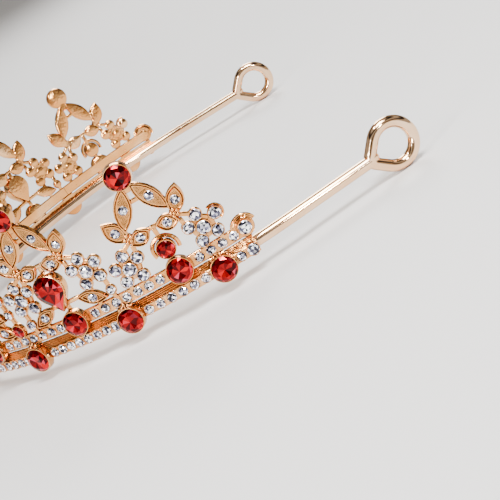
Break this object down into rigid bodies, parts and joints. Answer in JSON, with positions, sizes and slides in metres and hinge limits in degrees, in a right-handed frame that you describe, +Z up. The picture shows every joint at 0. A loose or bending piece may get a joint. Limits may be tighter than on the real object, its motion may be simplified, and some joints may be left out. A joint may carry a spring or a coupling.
{
  "type": "tiara",
  "caption": "Rose-gold rhinestone tiara: round wire band with an eyelet at each end, cast openwork peaks rising to the centre, clear crystals and round and pear-shaped red stones.",
  "frame": {"origin": "centre of the band wire's arc, on the plane that the wire eyelets rest on", "axes": "+Z up towards the peaks, -Y towards the front (centre peak), +Y towards the open end, +X the wearer's left side"},
  "size_m": [0.1634, 0.1263, 0.0577],
  "materials": {
    "band_wire": "polished",
    "rose_gold_casting": "polished",
    "clear_glass": "faceted, foil-backed",
    "red_glass": "faceted, foil-backed"
  },
  "bodies": {
    "root": {"band_wire": "band_wire", "centre_peak": "rose_gold_casting", "centre_peak_clear_stones": "clear_glass", "centre_peak_red_stones": "red_glass", "first_peak_left": "rose_gold_casting", "first_peak_left_clear_stones": "clear_glass", "first_peak_left_red_stones": "red_glass", "first_peak_right": "rose_gold_casting", "first_peak_right_clear_stones": "clear_glass", "first_peak_right_red_stones": "red_glass", "gallery_centre": "rose_gold_casting", "gallery_centre_clear_stones": "clear_glass", "gallery_centre_red_stones": "red_glass", "gallery_left": "rose_gold_casting", "gallery_left_clear_stones": "clear_glass", "gallery_left_red_stones": "red_glass", "gallery_right": "rose_gold_casting", "gallery_right_clear_stones": "clear_glass", "gallery_right_red_stones": "red_glass", "last_peak_left": "rose_gold_casting", "last_peak_left_clear_stones": "clear_glass", "last_peak_left_red_stones": "red_glass", "last_peak_right": "rose_gold_casting", "last_peak_right_clear_stones": "clear_glass", "last_peak_right_red_stones": "red_glass", "second_peak_left": "rose_gold_casting", "second_peak_left_clear_stones": "clear_glass", "second_peak_left_red_stones": "red_glass", "second_peak_right": "rose_gold_casting", "second_peak_right_clear_stones": "clear_glass", "second_peak_right_red_stones": "red_glass", "third_peak_left": "rose_gold_casting", "third_peak_left_clear_stones": "clear_glass", "third_peak_left_red_stones": "red_glass", "third_peak_right": "rose_gold_casting", "third_peak_right_clear_stones": "clear_glass", "third_peak_right_red_stones": "red_glass"}
  },
  "joints": []
}
